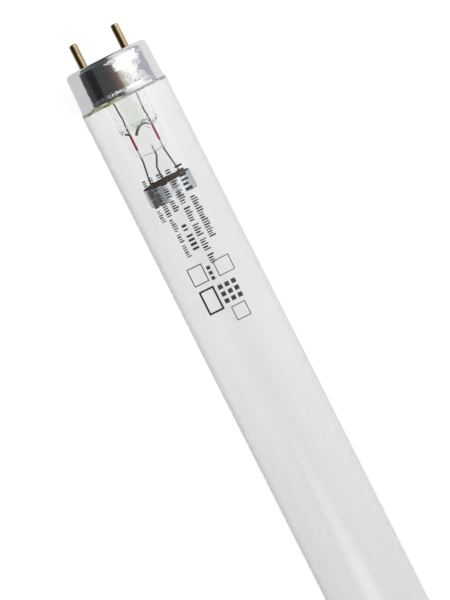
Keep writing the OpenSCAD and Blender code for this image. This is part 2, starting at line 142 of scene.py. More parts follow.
# Its smear over the rim: the depths where it starts and is full, and how far noise moves them
SMEAR = (CAP_LEN + 0.25, CAP_LEN + 0.5)
SMEAR_SWING = 1.6

# Noise runs from about the first value to the second
NOISE_LOW, NOISE_HIGH = 0.3, 0.7

# The height in metres of the fine marks that a grain gives a surface
GRAIN = 0.00005


# Meshes from grids of points

def place(points, end):
    """Millimetre points in an end's frame (x across, y front, z depth) to metres in the part's
    frame: X = depth - half the lamp, Y = across, Z = front, and half a turn about Z for end b."""
    x, y, z = points[..., 0], points[..., 1], points[..., 2]
    laid = np.stack([z - LAMP_LEN / 2, x, y], axis=-1)
    if end == "b":
        laid = laid * (-1, -1, 1)
    return laid * MM


def angles(count):
    """Even angles over a full turn, from 0."""
    return np.arange(count) * TAU / count


def ease(s):
    """Smooth step of s from 0 to 1, as a cubic."""
    s = np.clip(s, 0, 1)
    return s * s * (3 - 2 * s)


def along_knots(t, knots):
    """Values at t on straight lines from knot to knot, each (position, value)."""
    positions, values = zip(*knots)
    return np.interp(t, positions, values)


def grid_faces(nu, nv, wrap_u=False, wrap_v=False):
    """Corner numbers of the quads of a grid of nu by nv points, joined round where it wraps."""
    u = np.arange(nu if wrap_u else nu - 1)
    v = np.arange(nv if wrap_v else nv - 1)
    u, v = np.meshgrid(u, v, indexing="ij")
    u2, v2 = (u + 1) % nu, (v + 1) % nv
    return np.stack([u * nv + v, u2 * nv + v, u2 * nv + v2, u * nv + v2], axis=-1).reshape(-1, 4)


def closed_grid(points):
    """The faces of a grid of points that closes both ways."""
    return [grid_faces(*points.shape[:2], True, True)]


def carried_round(profile, a):
    """A profile of (radius, depth) points, one for all the angles or one for each, carried
    round the axis: x = radius cos a, y = radius sin a, z = depth."""
    x = profile[..., 0] * np.cos(a)[:, None]
    y = profile[..., 0] * np.sin(a)[:, None]
    return np.stack([x, y, np.broadcast_to(profile[..., 1], x.shape)], axis=-1)


def swept(path, radius, sides, up=(0.0, 1.0, 0.0)):
    """A round wire along a path: at each point a ring of the wire's radius in the plane square
    to the path, its spokes counted from the up direction. A point in the middle closes each
    end."""
    step = np.gradient(path, axis=0)
    way = step / np.linalg.norm(step, axis=1, keepdims=True)
    side = np.cross(way, np.broadcast_to(up, way.shape))
    side /= np.linalg.norm(side, axis=1, keepdims=True)
    top = np.cross(side, way)
    a = angles(sides)
    size = np.broadcast_to(radius, len(path))
    ring = np.cos(a)[:, None] * side[:, None] + np.sin(a)[:, None] * top[:, None]
    points = path[:, None] + ring * size[:, None, None]
    points = np.vstack([points.reshape(-1, 3), path[:1], path[-1:]])
    first, last = len(points) - 2, len(points) - 1
    here = np.arange(sides)
    there = (here + 1) % sides
    row = (len(path) - 1) * sides
    fans = np.concatenate([np.stack([there, here, np.full(sides, first)], axis=-1),
                           np.stack([row + here, row + there, np.full(sides, last)], axis=-1)])
    return points, [grid_faces(len(path), sides, False, True), fans[:, ::-1]]


def make_piece(name, points, faces, material, smooth=True, tone=None):
    """A mesh object at the origin from points in metres and arrays of corner numbers, one array
    for each size of face. The tone is a colour for every point, kept as an attribute."""
    mesh = bpy.data.meshes.new(name)
    points = np.ascontiguousarray(points, dtype=np.float32).reshape(-1, 3)
    corners = np.concatenate([f.ravel() for f in faces]).astype(np.int32)
    sizes = np.concatenate([np.full(len(f), f.shape[1], dtype=np.int32) for f in faces])
    mesh.vertices.add(len(points))
    mesh.vertices.foreach_set("co", points.ravel())
    mesh.loops.add(len(corners))
    mesh.loops.foreach_set("vertex_index", corners)
    mesh.polygons.add(len(sizes))
    mesh.polygons.foreach_set("loop_start", np.cumsum(sizes, dtype=np.int32) - sizes)
    mesh.polygons.foreach_set("use_smooth", np.full(len(sizes), smooth))
    mesh.update(calc_edges=True)
    mesh.validate()
    if tone is not None:
        rgba = np.concatenate([tone, np.ones((*tone.shape[:-1], 1))], axis=-1)
        colours = mesh.attributes.new("tone", "FLOAT_COLOR", "POINT")
        colours.data.foreach_set("color", np.ascontiguousarray(rgba, dtype=np.float32).ravel())
    mesh.materials.append(material)
    piece = add_object(name, mesh)
    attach(piece, "root")
    return piece


def add_object(name, data):
    """A new object in the scene, at the origin."""
    item = bpy.data.objects.new(name, data)
    bpy.context.scene.collection.objects.link(item)
    return item


def sharpen(piece, degrees):
    """Keeps the edges that turn more than the angle crisp."""
    piece.data.set_sharp_from_angle(angle=math.radians(degrees))


# Steps of a material

def new_material(name):
    """A material with a Principled surface, its nodes and its Object coordinates."""
    material = bpy.data.materials.new(name)
    material.use_nodes = True
    tree = material.node_tree
    surface = tree.nodes["Principled BSDF"]
    coords = new_node(tree, "TexCoord")
    return material, tree, surface, coords.outputs["Object"]


def feed(tree, value, socket):
    """Gives a socket its value: a number, a colour or another node's output."""
    if isinstance(value, (int, float)):
        socket.default_value = value
    elif isinstance(value, tuple):
        socket.default_value = (*value, 1.0)
    else:
        tree.links.new(value, socket)


def new_node(tree, kind, **values):
    """A node with values for its sockets, named with _ for a space."""
    node = tree.nodes.new("ShaderNode" + kind)
    for name, value in values.items():
        feed(tree, value, node.inputs[name.replace("_", " ")])
    return node


def stretched(tree, coords, scale):
    """Object coordinates scaled along each axis, for marks that run one way."""
    mapping = new_node(tree, "Mapping")
    mapping.inputs["Scale"].default_value = scale
    feed(tree, coords, mapping.inputs["Vector"])
    return mapping.outputs["Vector"]


def noise(tree, coords, scale=1.0, detail=3.0, roughness=0.6):
    """Cloudy noise. The scale is how many clouds fit in a metre."""
    node = new_node(tree, "TexNoise", Vector=coords, Scale=scale, Detail=detail,
                    Roughness=roughness)
    return node.outputs["Fac"]


def ramp(tree, value, stops):
    """Colours along a value: stops are (position, colour)."""
    node = new_node(tree, "ValToRGB", Fac=value)
    elements = node.color_ramp.elements
    while len(elements) < len(stops):
        elements.new(0.5)
    for element, (position, colour) in zip(elements, stops):
        element.position = position
        element.color = (*colour, 1.0)
    return node.outputs["Color"]


def two_tones(tree, marks, low, high):
    """The first colour where a noise is low, the second where it is high."""
    return ramp(tree, marks, [(NOISE_LOW, low), (NOISE_HIGH, high)])


def spread(tree, marks, low, high):
    """A noise spread over low to high."""
    node = new_node(tree, "MapRange", Value=marks, From_Min=NOISE_LOW, From_Max=NOISE_HIGH,
                    To_Min=low, To_Max=high)
    return node.outputs["Result"]


def calc(tree, operation, *values):
    """One step of arithmetic. Each value is a socket or a number."""
    node = new_node(tree, "Math")
    node.operation = operation
    for socket, value in zip(node.inputs, values):
        feed(tree, value, socket)
    return node.outputs[0]


def times(tree, first, second):
    """The product of two values."""
    return calc(tree, "MULTIPLY", first, second)


def mixed_numbers(tree, factor, first, second):
    """Two plain numbers mixed by a factor."""
    return calc(tree, "MULTIPLY_ADD", factor, second - first, first)


def mixed(tree, factor, first, second, blend="MIX"):
    """Two colours mixed by a factor."""
    node = new_node(tree, "Mix")
    node.data_type = "RGBA"
    node.blend_type = blend
    feed(tree, factor, node.inputs["Factor"])
    feed(tree, first, node.inputs["A"])
    feed(tree, second, node.inputs["B"])
    return node.outputs["Result"]


def mixed_shaders(tree, factor, first, second):
    """Two shaders mixed by a factor."""
    node = new_node(tree, "MixShader")
    for socket, source in zip(node.inputs, (factor, first, second)):
        feed(tree, source, socket)
    return node.outputs[0]


def smooth_between(tree, value, start, stop):
    """0 up to the start, 1 from the stop on, and a smooth step between them."""
    node = new_node(tree, "MapRange", Value=value, From_Min=start, From_Max=stop)
    node.interpolation_type = "SMOOTHSTEP"
    return node.outputs["Result"]


def within(tree, value, start, full, painted_shading_along, stop):
    """1 from full to fade, 0 before the start and after the stop."""
    return times(tree, smooth_between(tree, value, stop, painted_shading_along),
                 smooth_between(tree, value, start, full))


def split_xyz(tree, coords):
    """The three coordinates, each by itself."""
    split = new_node(tree, "SeparateXYZ")
    feed(tree, coords, split.inputs[0])
    return split.outputs


def end_coords(tree, coords):
    """Across and depth in an end's own frame, in millimetres, the same for both ends."""
    x, y, _ = split_xyz(tree, coords)
    across = times(tree, times(tree, y, -1 / MM), calc(tree, "SIGN", x))
    depth = calc(tree, "MULTIPLY_ADD", calc(tree, "ABSOLUTE", x), -1 / MM, LAMP_LEN / 2)
    return across, depth


def patches(tree, across, depth, places):
    """1 in soft-edged oval patches and 0 outside them. A place is its middle (across, depth)
    and its half width and half height."""
    outer, inner = 1.15, 0.2
    plane = new_node(tree, "CombineXYZ")
    feed(tree, across, plane.inputs[0])
    feed(tree, depth, plane.inputs[1])
    total = 0.0
    for x, z, wide, high in places:
        oval = new_node(tree, "Mapping")
        oval.inputs["Location"].default_value = (-x / wide, -z / high, 0)
        oval.inputs["Scale"].default_value = (1 / wide, 1 / high, 1)
        feed(tree, plane.outputs[0], oval.inputs["Vector"])
        reach = new_node(tree, "VectorMath")
        reach.operation = "LENGTH"
        feed(tree, oval.outputs[0], reach.inputs[0])
        patch = smooth_between(tree, reach.outputs["Value"], outer, inner)
        total = calc(tree, "MAXIMUM", total, patch)
    return total


def bump(tree, surface, height, strength, distance=GRAIN):
    """Bumps the surface by a height, on top of a bump that it has already."""
    node = new_node(tree, "Bump", Height=height, Strength=strength, Distance=distance)
    for link in surface.inputs["Normal"].links:
        feed(tree, link.from_socket, node.inputs["Normal"])
    feed(tree, node.outputs["Normal"], surface.inputs["Normal"])


def set_looks(tree, surface, marks, colour, rough, metallic=0.0, relief=0.0):
    """Gives a surface its colour and how much of a metal it is. Its marks spread its roughness
    over a range and stand out by their relief."""
    feed(tree, colour, surface.inputs["Base Color"])
    feed(tree, metallic, surface.inputs["Metallic"])
    feed(tree, spread(tree, marks, *rough), surface.inputs["Roughness"])
    if relief:
        bump(tree, surface, marks, relief)


# Materials

def glass(name, face, rims, ior, ripple, painted_shading_along=(), mirrored_through=0.0):
    """Clear glass: a face tone, the rims' tones on the left and on the right where it is seen
    edge on, a drift along the piece, shallow ripples drawn out along the lamp, and the share of
    its colour at each depth in mm. Where the two rims' tones differ, they are a painted shade on
    the left and a painted light on the right. The shares along the piece are painted light and
    shade. Lamp light passes straight through it, and so does the given share of what the metal
    inside mirrors."""
    material, tree, surface, coords = new_material(name)
    drift = noise(tree, stretched(tree, coords, (9, 60, 60)), 1.0, 2.0, 0.5)
    paler, darker = 1.015, 0.985
    tints = [two_tones(tree, drift, [c * darker for c in tone], [min(c * paler, 1) for c in tone])
             for tone in (face, *rims)]
    _, y, _ = split_xyz(tree, coords)
    # Painted shade and light: across the lamp, the rim goes from the left rim's tone to the right
    # rim's
    rim = mixed(tree, smooth_between(tree, y, -4 * MM, 4 * MM), tints[1], tints[2])
    edge = new_node(tree, "LayerWeight", Blend=0.25)
    tint = mixed(tree, edge.outputs["Facing"], tints[0], rim)
    # Painted light and shade along the piece: its colour is scaled by a share that changes with
    # depth
    if painted_shading_along:
        _, depth = end_coords(tree, coords)
        longest = 200.0
        share = ramp(tree, calc(tree, "DIVIDE", depth, longest),
                     [(at / longest, (value, value, value)) for at, value in painted_shading_along])
        tint = mixed(tree, 1.0, tint, share, "MULTIPLY")
    feed(tree, tint, surface.inputs["Base Color"])
    surface.inputs["Roughness"].default_value = 0.0
    surface.inputs["Transmission Weight"].default_value = 1.0
    surface.inputs["IOR"].default_value = ior
    surface.inputs["Specular Tint"].default_value = (0.8, 0.8, 0.8, 1)
    wave = noise(tree, stretched(tree, coords, (14, 180, 180)), 1.0, 1.0, 0.5)
    bump(tree, surface, wave, ripple, 0.0005)

    path = new_node(tree, "LightPath").outputs
    lit = calc(tree, "MAXIMUM", path["Is Shadow Ray"], path["Is Diffuse Ray"])
    if mirrored_through:
        mirrored = times(tree, path["Is Reflection Ray"], mirrored_through)
        lit = calc(tree, "MAXIMUM", lit, mirrored)
    through = new_node(tree, "BsdfTransparent", Color=tuple(c ** 0.5 for c in face))
    both = mixed_shaders(tree, lit, surface.outputs[0], through.outputs[0])
    feed(tree, both, tree.nodes["Material Output"].inputs["Surface"])
    return material


def grained(name, low, high, rough, grain, relief=0.0, metallic=0.0):
    """A surface whose tone and gloss vary with a grain, which stands out by its relief."""
    material, tree, surface, coords = new_material(name)
    marks = noise(tree, coords, grain, 4.0)
    colour = two_tones(tree, marks, low, high)
    set_looks(tree, surface, marks, colour, rough, metallic, relief)
    return material


def cap_metal():
    """Drawn aluminium, a little crowned along the skirt, with fine marks round it, shallow
    dents, crinkles in a few patches, and olive cement smeared over the rim on the left."""
    material, tree, surface, coords = new_material("cap_aluminium")
    across, depth = end_coords(tree, coords)
    off = calc(tree, "SUBTRACT", depth, CAP_LEN / 2)
    fall = times(tree, times(tree, off, off), -1.0)
    bump(tree, surface, fall, 1.0, CAP_CROWN * MM)
    bump(tree, surface, noise(tree, coords, 150.0, 1.5, 0.5), 1.0, 0.00014)
    bump(tree, surface, noise(tree, coords, 700.0, 2.0, 0.5), 1.0, 0.00003)
    folds = noise(tree, stretched(tree, coords, (2800, 1000, 1000)), detail=2.0)
    folds = calc(tree, "SUBTRACT", folds, 0.5)
    folds = times(tree, folds, patches(tree, across, depth, CRINKLES))
    bump(tree, surface, folds, 1.0, 0.0004)
    marks = noise(tree, stretched(tree, coords, (1500, 160, 160)), detail=4.0)
    drawn = two_tones(tree, marks, (0.84, 0.84, 0.84), (0.92, 0.92, 0.92))
    ragged = calc(tree, "MULTIPLY_ADD", noise(tree, coords, 420.0), SMEAR_SWING, depth)
    smear = times(tree, smooth_between(tree, ragged, *SMEAR),
                  within(tree, across, *OLIVE_ACROSS))
    olive = ramp(tree, noise(tree, coords, 700.0), OLIVE)
    rough = calc(tree, "MULTIPLY_ADD", smear, 0.5, spread(tree, marks, 0.06, 0.13))
    feed(tree, mixed(tree, smear, drawn, olive), surface.inputs["Base Color"])
    feed(tree, rough, surface.inputs["Roughness"])
    feed(tree, calc(tree, "SUBTRACT", 1.0, smear), surface.inputs["Metallic"])
    bump(tree, surface, marks, 0.08)
    return material


def inner_wire():
    """Drawn nickel wire: dark and bright-drawn in the lamp, pale where it is wetted by the
    glass of the press."""
    material, tree, surface, coords = new_material("nickel_wire")
    _, depth = end_coords(tree, coords)
    out = smooth_between(tree, depth, PRESS_END - 0.6, PRESS_END - 0.2)
    marks = noise(tree, coords, 900.0)
    drawn = two_tones(tree, marks, (0.13, 0.13, 0.14), (0.22, 0.22, 0.23))
    wetted = two_tones(tree, marks, (0.55, 0.53, 0.54), (0.75, 0.74, 0.74))
    set_looks(tree, surface, marks, mixed(tree, out, wetted, drawn), (0.25, 0.4),
              times(tree, out, 0.95), relief=0.1)
    return material


def pin_brass():
    """Turned brass with marks round the pin, and a painted shade that makes the left side of each
    pin brown and dark.
    """
    material, tree, surface, coords = new_material("pin_brass")
    across, _ = end_coords(tree, coords)
    off = calc(tree, "MULTIPLY_ADD", calc(tree, "SIGN", across), -PIN_X, across)
    marks = noise(tree, stretched(tree, coords, (500, 2500, 2500)), detail=4.0)
    bright = two_tones(tree, marks, (0.70, 0.50, 0.24), (0.98, 0.83, 0.56))
    brown = two_tones(tree, marks, (0.28, 0.17, 0.06), (0.52, 0.36, 0.17))
    # Painted shade: the left side of each pin is brown and dark
    colour = mixed(tree, smooth_between(tree, off, 0.1, -0.5), bright, brown)
    set_looks(tree, surface, marks, colour, (0.09, 0.18), 1.0, relief=0.12)
    return material


def lead_wire():
    """The outer leads: dark tinned wire, pale where the right one is coated with glass."""
    material, tree, surface, coords = new_material("outer_lead")
    across, depth = end_coords(tree, coords)
    coat = times(tree, smooth_between(tree, depth, 17.0, 14.5),
                 smooth_between(tree, across, -1.0, 1.0))
    marks = noise(tree, coords, 900.0)
    wire = two_tones(tree, marks, (0.12, 0.11, 0.10), (0.20, 0.19, 0.18))
    set_looks(tree, surface, marks, mixed(tree, coat, wire, (0.85, 0.86, 0.84)), (0.35, 0.5),
              calc(tree, "SUBTRACT", 1.0, coat), relief=0.05)
    return material


def toned(name, dark, rough, metallic, transmission):
    """A surface coloured by the piece's own tone attribute, darkened to the given share and
    dulled by a fine noise."""
    material, tree, surface, coords = new_material(name)
    tone = new_node(tree, "Attribute")
    tone.attribute_name = "tone"
    marks = noise(tree, coords, 900.0)
    shade = two_tones(tree, marks, (dark, dark, dark), (1, 1, 1))
    colour = mixed(tree, 1.0, tone.outputs["Color"], shade, "MULTIPLY")
    set_looks(tree, surface, marks, colour, rough, metallic)
    surface.inputs["Transmission Weight"].default_value = transmission
    return material


def plate_material():
    """Moulded brown plate: fine speckle in colour and gloss."""
    material, tree, surface, coords = new_material("insulator")
    specks = noise(tree, coords, 2600.0, 3.0, 0.7)
    colour = ramp(tree, specks, [(0.35, (0.060, 0.032, 0.020)), (0.65, (0.11, 0.062, 0.040))])
    set_looks(tree, surface, specks, colour, (0.45, 0.65))
    bump(tree, surface, specks, 0.2, 0.00004)
    return material


def cement_material():
    """Baked cement: pale, olive on the left and grey on the right, patchy and grainy, with a
    painted shadow, a dark grey line, where it leaves the rim."""
    material, tree, surface, coords = new_material("cement")
    blotches = noise(tree, coords, 260.0, 4.0)
    olive = ramp(tree, blotches, OLIVE)
    grey = ramp(tree, blotches, [(0.32, (0.20, 0.20, 0.21)), (0.5, (0.48, 0.47, 0.49)),
                                 (0.68, (0.76, 0.76, 0.76))])
    across, depth = end_coords(tree, coords)
    baked = mixed(tree, within(tree, across, *OLIVE_ACROSS), grey, olive)
    # Painted shadow: dark grey in the first quarter millimetre past the rim, in the gap between
    # rim and glass
    past_painted_rim_shadow = smooth_between(tree, depth, CAP_LEN + 0.1, CAP_LEN + 0.25)
    colour = mixed(tree, past_painted_rim_shadow, (0.20, 0.20, 0.19), baked)
    feed(tree, colour, surface.inputs["Base Color"])
    surface.inputs["Roughness"].default_value = 0.7
    bump(tree, surface, noise(tree, coords, 3000.0, 3.0, 0.5), 0.4, 0.0001)
    return material


def ink_material():
    """Fired black ink: near black, a little thin in places."""
    material, tree, surface, coords = new_material("ink")
    wear = noise(tree, coords, 1800.0)
    colour = ramp(tree, wear, [(0.3, (0.012, 0.012, 0.012)), (0.75, (0.05, 0.05, 0.05))])
    set_looks(tree, surface, wear, colour, (0.35, 0.6))
    return material


# On the tube, the left rim is a painted shade and the right rim a painted light. The shares are
# painted light near the caps and painted shade farther along
TUBE_GLASS = glass("tube_glass", (0.831, 0.835, 0.829), ((0.78, 0.78, 0.78), (0.96, 0.96, 0.96)),
                   ior=1.48, ripple=0.02, mirrored_through=0.8,
                   painted_shading_along=[(14, 0.985), (22, 0.967), (45, 0.942), (85, 0.942), (165, 0.888)])
STEM_GLASS = glass("stem_glass", (0.99, 1.0, 0.99), ((0.96, 0.97, 0.96), (0.96, 0.97, 0.96)),
                   ior=1.13, ripple=0.01)
CAP_METAL = cap_metal()
NICKEL = inner_wire()
BRASS = pin_brass()
LEAD = lead_wire()
COPPER = grained("seal_wire", (0.30, 0.004, 0.04), (0.52, 0.025, 0.12), (0.25, 0.4), 700.0,
                 relief=0.1)
TUNGSTEN = grained("tungsten", (0.30, 0.29, 0.28), (0.62, 0.60, 0.57), (0.5, 0.7), 1500.0,
                   relief=0.3, metallic=0.2)
MERCURY = grained("mercury", (0.75, 0.75, 0.77), (0.85, 0.85, 0.86), (0.02, 0.04), 300.0,
                  metallic=1.0)
SHIELD_STRIP = toned("shield_strip", 0.93, (0.16, 0.24), 1.0, 0.0)
MELTED_LIP = toned("melted_lip", 0.8, (0.1, 0.2), 0.0, 0.45)
PLATE = plate_material()
CEMENT = cement_material()
INK = ink_material()


# Glass tube

def neck_radius(depth, full_r):
    """The tube's outer radius at a depth: neck + ease(s) times the step, with s from 0 to 1 over
    the shoulder, which is centred on the cap's rim."""
    return NECK_R + (full_r - NECK_R) * ease((depth - CAP_LEN) / NECK_LEN + 0.5)


def glass_tube():
    """The closed wall of the tube: the outer profile from one end to the other, and the same
    profile one wall smaller on the way back, turned round the axis."""
    full_r = TUBE_R - INK_LIFT
    depth = CAP_LEN + NECK_LEN * np.linspace(-0.5, 0.5, 25)
    shoulder = np.stack([neck_radius(depth, full_r), depth], axis=-1)
    near = np.vstack([[NECK_R, SEAL_DEPTH], shoulder])
    far = near[::-1] * (1, -1) + (0, LAMP_LEN)
    rings = 30
    between_ends = np.linspace(near[-1, 1], far[0, 1], rings + 2)[1:-1]
    middle = np.stack([np.full(rings, full_r), between_ends], axis=-1)
    outer = np.vstack([near, middle, far])
    inner = outer[::-1] - (TUBE_WALL, 0)
    points = carried_round(np.vstack([outer, inner]), angles(TUBE_SIDES))
    piece = make_piece("clear_tube", place(points, "a"), closed_grid(points), TUBE_GLASS)
    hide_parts("glass_tube")


# Caps

def slot_ring(a, length, width):
    """The outline of a slot with round ends, a point at each angle: where the angle's spoke
    leaves the slot."""
    ux, uy = np.cos(a), np.sin(a)
    r, c = width / 2, (length - width) / 2
    along = np.abs(ux) * c
    round_end = along + np.sqrt(np.maximum(along**2 - c * c + r * r, 0))
    with np.errstate(divide="ignore"):
        flat = r / np.abs(uy)
    reach = np.where(np.abs(ux) * flat <= c, flat, round_end)
    return np.stack([reach * ux, reach * uy], axis=-1)


def cap_shell(end):
    """One closed grid: rings of points from the window's outline across the flat face (each
    ring a mix of the outline and a circle), round the shoulder, along the skirt, out over the
    flare, round the rim, back along the inside, and over the window's edge."""
    a = angles(CAP_SIDES)
    circle = np.stack([np.cos(a), np.sin(a)], axis=-1)
    window = slot_ring(a, **CAP_WINDOW)
    face_r = TOP_R - SHOULDER_R
    rim_start = CAP_LEN - RIM_OUTER_CORNER

    def face(depth):
        """Rings across the flat face, between the window's outline and the shoulder."""
        mix = np.linspace(0, 1, 9)[:-1, None]
        flat = (1 - mix) * window[:, None] + mix * circle[:, None] * face_r
        return np.concatenate([flat, np.full((CAP_SIDES, len(mix), 1), depth)], axis=-1)

    def wall(inset):
        """The shell's surface as (radius, depth), moved in by the inset."""
        t = np.linspace(0, math.pi / 2, 25)
        corner_r = SHOULDER_R - inset
        shoulder = np.stack([face_r + corner_r * np.sin(t), SHOULDER_R - corner_r * np.cos(t)],
                            axis=-1)
        z = np.linspace(SHOULDER_R, FLARE_START, 16)[1:]
        taper = (SKIRT_R - TOP_R) * (z - SHOULDER_R) / (FLARE_START - SHOULDER_R)
        skirt = np.stack([TOP_R + taper - inset, z], axis=-1)
        s = np.linspace(0, 1, 21)[1:]
        flare = np.stack([SKIRT_R + (RIM_R - SKIRT_R) * s**1.6 - inset,
                          FLARE_START + (rim_start - FLARE_START) * s], axis=-1)
        return np.vstack([shoulder, skirt, flare])

    inside_r = RIM_R - SHELL_WALL
    rim = np.array([[RIM_R, rim_start], [RIM_R - RIM_OUTER_CORNER, CAP_LEN],
                    [inside_r + RIM_INNER_CORNER, CAP_LEN],
                    [inside_r, CAP_LEN - RIM_INNER_CORNER]])
    profile = np.vstack([wall(0.0), rim, wall(SHELL_WALL)[::-1]])
    points = np.concatenate([face(0.0), carried_round(profile, a), face(SHELL_WALL)[:, ::-1]],
                            axis=1)
    piece = make_piece(f"cap_{end}", place(points, end), closed_grid(points), CAP_METAL)
    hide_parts(f"cap_shell_{end}")
    sharpen(piece, 50)


def cement_ring(end):
    """The baked bead at the rim: between the shell's inside and the glass, its free edge on the
    glass moved up and down with the angle by a few waves, and its surface a little sunk."""
    a = angles(CAP_SIDES)
    wave = sum((high * np.sin(number * a + start) for number, high, start in CEMENT_WAVES), 0.5)
    lowest, proud, sunk = 0.55, 0.08, 0.02
    reach = lowest + (1 - lowest) * np.clip(wave, 0.0, 1.0)
    steps = np.linspace(0, 1, 12)
    half_neck = NECK_LEN / 2
    depth = CAP_LEN + proud + (half_neck - 0.1) * reach[:, None] * steps
    on_glass = neck_radius(depth, TUBE_R) + sunk
    from_rim = RIM_R - sunk + 0.07 * (depth - CAP_LEN) / half_neck
    radius = from_rim + (on_glass - from_rim) * steps**2
    bead = np.stack([np.minimum(radius, TUBE_R), depth], axis=-1)
    z = CAP_LEN - half_neck * steps
    shoulder = np.stack([neck_radius(z, TUBE_R), z], axis=-1)
    shell_r = RIM_R - SHELL_WALL
    hidden = np.vstack([shoulder, [[NECK_R, CEMENT_START],
                                   [TOP_R - SHELL_WALL + 0.1, CEMENT_START],
                                   [SKIRT_R - SHELL_WALL, FLARE_START],
                                   [shell_r, CAP_LEN - RIM_LEN], [shell_r, CAP_LEN],
                                   [RIM_R - 0.04, CAP_LEN]]])
    hidden = np.broadcast_to(hidden, (CAP_SIDES, *hidden.shape))
    points = carried_round(np.concatenate([bead, hidden], axis=1), a)
    piece = make_piece(f"cement_{end}", place(points, end), closed_grid(points), CEMENT)
    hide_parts(f"capping_cement_{end}")


# Seal wires, vent lip and creases

def seal_wires(end):
    """The red wires in the press: straight round rods, let 0.04 mm into the glass round them, so
    that no gap shows between the two."""
    for number, x in (("1", -SEAL["x"]), ("2", SEAL["x"])):
        z = np.linspace(SEAL["start"], SEAL["stop"], 12)
        path = np.stack([np.full(len(z), x), 0 * z, z], axis=-1)
        points, faces = swept(path, SEAL["radius"], sides=20)
        piece = make_piece(f"seal_wire_{end}{number}_red", place(points, end), faces, COPPER)
        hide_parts(f"seal_wire_{end}{number}")


def melted_beads(name, end, beads):
    """Beads of once molten glass on the front of the press, as one piece. A bead is its path,
    the radius and the colour along it."""
    sides = 16
    points, faces, tones = [], [], []
    for path, size, tone in beads:
        bead, parts = swept(path, size, sides)
        faces += [part + sum(map(len, points)) for part in parts]
        points.append(bead)
        tones.append(np.vstack([np.repeat(tone, sides, axis=0), tone[:1], tone[-1:]]))
    make_piece(f"{name}_{end}", place(np.vstack(points), end), faces, MELTED_LIP,
               tone=np.vstack(tones))


def vent_lip(end):
    """The thick melted edge over the vent: a bead along the upper part of an oval, x = centre
    + wide sin a and z = centre - high cos a, from the left over the top to the right, where it
    thins out. Its colour is a painted shade, dark grey-green on the left, going over into a
    painted light, pale on the right."""
    t = np.linspace(0, 1, 90)
    half_arc = math.radians(80)
    a = half_arc * (2 * t - 1)
    path = np.stack([VENT["x"] + VENT["wide"] * np.sin(a), np.full(len(t), PRESS_FRONT),
                     VENT["z"] - VENT["high"] * np.cos(a)], axis=-1)
    # Painted shade and light along the bead, from dark on the left to pale on the right
    tone = [along_knots(t, [(at, colour[k]) for at, colour in LIP_PAINTED_SHADING]) for k in range(3)]
    melted_beads("vent_lip", end, [(path, along_knots(t, LIP_RADIUS), np.stack(tone, axis=-1))])


def press_creases(end):
    """Creases where the pinched glass folded and at its end: short straight beads, waisted in
    the middle, coloured with painted shade, mostly on the left, and with painted light on the
    right and at the end."""
    t = np.linspace(0, 1, 30)
    waist, blunt_end = 0.15, 0.3
    shape = (1 - waist * np.sin(math.pi * t)) * ease(np.minimum(t, 1 - t) * 12 + blunt_end)
    front = np.full(len(t), PRESS_FRONT)
    beads = []
    for x0, z0, x1, z1, radius, tint in CREASES_PAINTED_SHADING:
        path = np.stack([x0 + (x1 - x0) * t, front, z0 + (z1 - z0) * t], axis=-1)
        # Each crease takes its listed colour: painted shade on the dark ones, painted light on the
        # pale ones
        beads.append((path, radius * shape, np.tile(tint, (len(t), 1))))
    melted_beads("press_creases", end, beads)


# Cathode shield

def shield_oval(turn, grown):
    """The oval's outline where its normal points along the turn: the centre of the arc that the
    normal belongs to, plus the arc's radius along the normal."""
    a, b, end_r = SHIELD["length"] / 2, SHIELD["width"] / 2, SHIELD["end_r"]
    side_r = ((a - end_r) ** 2 + b * b - end_r**2) / (2 * (b - end_r))
    meet = math.atan2(side_r - b, a - end_r)
    c, s = np.cos(turn), np.sin(turn)
    on_end = np.abs(s) < math.sin(meet)
    radius = np.where(on_end, end_r, side_r) + grown
    x = np.where(on_end, np.sign(c) * (a - end_r), 0) + radius * c
    y = np.where(on_end, 0, -np.sign(s) * (side_r - b)) + radius * s
    return np.stack([x, y], axis=-1)


def cathode_shield(end):
    """The strip round the cathode: a closed loop of cross-sections, each with its outside, its
    rounded edges and its inside. The outside is grown by one wall over the lap at the back.
    Blue-grey outside with a painted shade, darkest in a stretch on the left, and browned inside."""
    count, wall = 320, SHIELD["wall"]
    lap_step, corner = 0.1, 0.05
    turn = (np.arange(count) + 0.5) * TAU / count
    flat = shield_oval(turn, 0)
    in_lap = (SHIELD["lap"] / 2 - np.abs(flat[:, 0])) / lap_step + 0.5
    lap = np.where(flat[:, 1] < 0, ease(in_lap), 0)
    across = np.array([0, 0, 0, 0.25, 0.75, 1, 1, 1, 0.75, 0.25])
    up = np.array([-1, 0, 1, 1, 1, 1, 0, -1, -1, -1])
    inset = corner * np.array([1, 0, 1, 0, 0, 1, 0, 1, 0, 0])
    h = up * (SHIELD["height"] / 2 - inset)
    grown = wall * lap[:, None] * (1 - across) - wall * across
    x, y = np.moveaxis(np.stack([shield_oval(turn, g) for g in grown.T], axis=1), -1, 0)
    lean = math.radians(SHIELD["lean"])
    points = np.stack([x, y * math.cos(lean) - h * math.sin(lean),
                       y * math.sin(lean) + h * math.cos(lean) + CATHODE_Z], axis=-1)
    # Painted shade: the listed brightness across the strip darkens the outside's tone
    outside = along_knots(x, SHIELD_PAINTED_SHADE)[..., None] * SHIELD_OUTSIDE
    tone = np.where((across > 0.5)[:, None], SHIELD_INSIDE, outside)
    piece = make_piece(f"shield_{end}", place(points, end), closed_grid(points), SHIELD_STRIP,
                       tone=tone)
    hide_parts(f"cathode_shield_{end}")
    sharpen(piece, 40)


# Cathode coil

